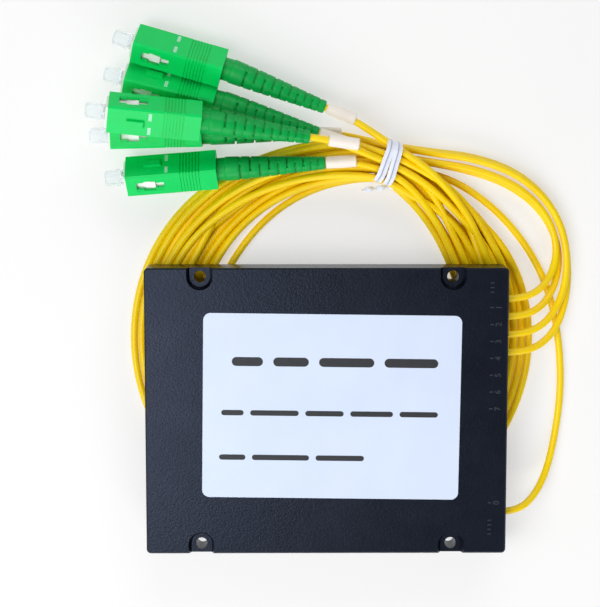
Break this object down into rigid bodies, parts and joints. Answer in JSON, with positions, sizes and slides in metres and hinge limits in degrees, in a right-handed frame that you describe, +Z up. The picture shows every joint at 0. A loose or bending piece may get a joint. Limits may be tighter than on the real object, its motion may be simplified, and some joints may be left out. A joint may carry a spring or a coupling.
{
  "type": "plc fibre splitter",
  "caption": "Flat black splitter cassette with screw ears, a label, yellow pigtails coiled and tied beside it, and green angled plugs with dust caps.",
  "frame": {"origin": "centre of the cassette's box", "axes": "+X along the box's long side towards the cable exits, +Y across it towards the tied side of the coil, +Z up out of the lid"},
  "size_m": [0.1344, 0.1462, 0.0228],
  "materials": {
    "case_abs": "moulded black ABS with a fine spark grain",
    "label_vinyl": "printed matt film",
    "splitter_steel": "drawn stainless tube",
    "chip_glass": "polished glass",
    "seal_silicone": "cured seal",
    "fibre_buffer": "smooth 0.9 mm buffer",
    "crimp_brass": "crimped, nickel over brass",
    "jacket_yellow": "extruded soft jacket, satin",
    "tie_white": "flat film over wire",
    "sleeve_white": "soft cable marker sleeve",
    "grip_green": "moulded, satin gloss",
    "frame_white": "moulded, satin",
    "ferrule_zirconia": "ground and polished zirconia ceramic",
    "spring_steel": "bright spring wire",
    "cap_clear": "translucent, faintly blue",
    "boot_green": "moulded elastomer, satin",
    "rear_black": "moulded"
  },
  "bodies": {
    "root": {"base_tray": "case_abs", "lid": "case_abs", "label": "label_vinyl", "splitter_tube": "splitter_steel", "splitter_chip": "chip_glass", "fibre_arrays": "chip_glass", "tube_end_plugs": "seal_silicone", "input_fibre": "fibre_buffer", "output_fibres": "fibre_buffer", "cable_anchors": "crimp_brass", "lead_input": "jacket_yellow", "lead_output_1": "jacket_yellow", "lead_output_2": "jacket_yellow", "lead_output_3": "jacket_yellow", "lead_output_4": "jacket_yellow", "pigtail_coil": "jacket_yellow", "twist_tie": "tie_white", "tail_1": "jacket_yellow", "tail_2": "jacket_yellow", "tail_3": "jacket_yellow", "tail_4": "jacket_yellow", "tail_5": "jacket_yellow", "marker_sleeve_1": "sleeve_white", "marker_sleeve_2": "sleeve_white", "marker_sleeve_3": "sleeve_white", "marker_sleeve_4": "sleeve_white", "marker_sleeve_5": "sleeve_white", "plug_frame_1": "frame_white", "plug_frame_2": "frame_white", "plug_frame_3": "frame_white", "plug_frame_4": "frame_white", "plug_frame_5": "frame_white", "spring_1": "spring_steel", "spring_2": "spring_steel", "spring_3": "spring_steel", "spring_4": "spring_steel", "spring_5": "spring_steel", "boot_1": "boot_green", "boot_2": "boot_green", "boot_3": "boot_green", "boot_4": "boot_green", "boot_5": "boot_green", "rear_bodies": "rear_black", "crimp_rings": "crimp_brass"},
    "grip_1": {"grip_housing_1": "grip_green"},
    "grip_2": {"grip_housing_2": "grip_green"},
    "grip_3": {"grip_housing_3": "grip_green"},
    "grip_4": {"grip_housing_4": "grip_green"},
    "grip_5": {"grip_housing_5": "grip_green"},
    "ferrule_1": {"ferrule_1": "ferrule_zirconia"},
    "ferrule_2": {"ferrule_2": "ferrule_zirconia"},
    "ferrule_3": {"ferrule_3": "ferrule_zirconia"},
    "ferrule_4": {"ferrule_4": "ferrule_zirconia"},
    "ferrule_5": {"ferrule_5": "ferrule_zirconia"},
    "cap_1": {"dust_cap_1": "cap_clear"},
    "cap_2": {"dust_cap_2": "cap_clear"},
    "cap_3": {"dust_cap_3": "cap_clear"},
    "cap_4": {"dust_cap_4": "cap_clear"},
    "cap_5": {"dust_cap_5": "cap_clear"}
  },
  "joints": [
    {"name": "grip_slide_1", "type": "slide", "parent": "root", "child": "grip_1", "axis": [0.9608, -0.2773, 0], "range_m": [0, 0.0015]},
    {"name": "ferrule_slide_1", "type": "slide", "parent": "root", "child": "ferrule_1", "axis": [0.9608, -0.2773, 0], "range_m": [0, 0.001], "stiffness_N_per_m": 1000, "springref_m": -0.002, "deforming": ["spring_1"]},
    {"name": "cap_slide_1", "type": "slide", "parent": "ferrule_1", "child": "cap_1", "axis": [-0.9608, 0.2773, 0], "range_m": [0, 0.008]},
    {"name": "grip_slide_2", "type": "slide", "parent": "root", "child": "grip_2", "axis": [0.9703, -0.2419, 0], "range_m": [0, 0.0015]},
    {"name": "ferrule_slide_2", "type": "slide", "parent": "root", "child": "ferrule_2", "axis": [0.9703, -0.2419, 0], "range_m": [0, 0.001], "stiffness_N_per_m": 1000, "springref_m": -0.002, "deforming": ["spring_2"]},
    {"name": "cap_slide_2", "type": "slide", "parent": "ferrule_2", "child": "cap_2", "axis": [-0.9703, 0.2419, 0], "range_m": [0, 0.008]},
    {"name": "grip_slide_3", "type": "slide", "parent": "root", "child": "grip_3", "axis": [0.9907, -0.1041, -0.0872], "range_m": [0, 0.0015]},
    {"name": "ferrule_slide_3", "type": "slide", "parent": "root", "child": "ferrule_3", "axis": [0.9907, -0.1041, -0.0872], "range_m": [0, 0.001], "stiffness_N_per_m": 1000, "springref_m": -0.002, "deforming": ["spring_3"]},
    {"name": "cap_slide_3", "type": "slide", "parent": "ferrule_3", "child": "cap_3", "axis": [-0.9907, 0.1041, 0.0872], "range_m": [0, 0.008]},
    {"name": "grip_slide_4", "type": "slide", "parent": "root", "child": "grip_4", "axis": [0.9997, 0.0244, 0], "range_m": [0, 0.0015]},
    {"name": "ferrule_slide_4", "type": "slide", "parent": "root", "child": "ferrule_4", "axis": [0.9997, 0.0244, 0], "range_m": [0, 0.001], "stiffness_N_per_m": 1000, "springref_m": -0.002, "deforming": ["spring_4"]},
    {"name": "cap_slide_4", "type": "slide", "parent": "ferrule_4", "child": "cap_4", "axis": [-0.9997, -0.0244, 0], "range_m": [0, 0.008]},
    {"name": "grip_slide_5", "type": "slide", "parent": "root", "child": "grip_5", "axis": [0.9962, 0.0802, 0.0332], "range_m": [0, 0.0015]},
    {"name": "ferrule_slide_5", "type": "slide", "parent": "root", "child": "ferrule_5", "axis": [0.9962, 0.0802, 0.0332], "range_m": [0, 0.001], "stiffness_N_per_m": 1000, "springref_m": -0.002, "deforming": ["spring_5"]},
    {"name": "cap_slide_5", "type": "slide", "parent": "ferrule_5", "child": "cap_5", "axis": [-0.9962, -0.0802, -0.0332], "range_m": [0, 0.008]}
  ]
}
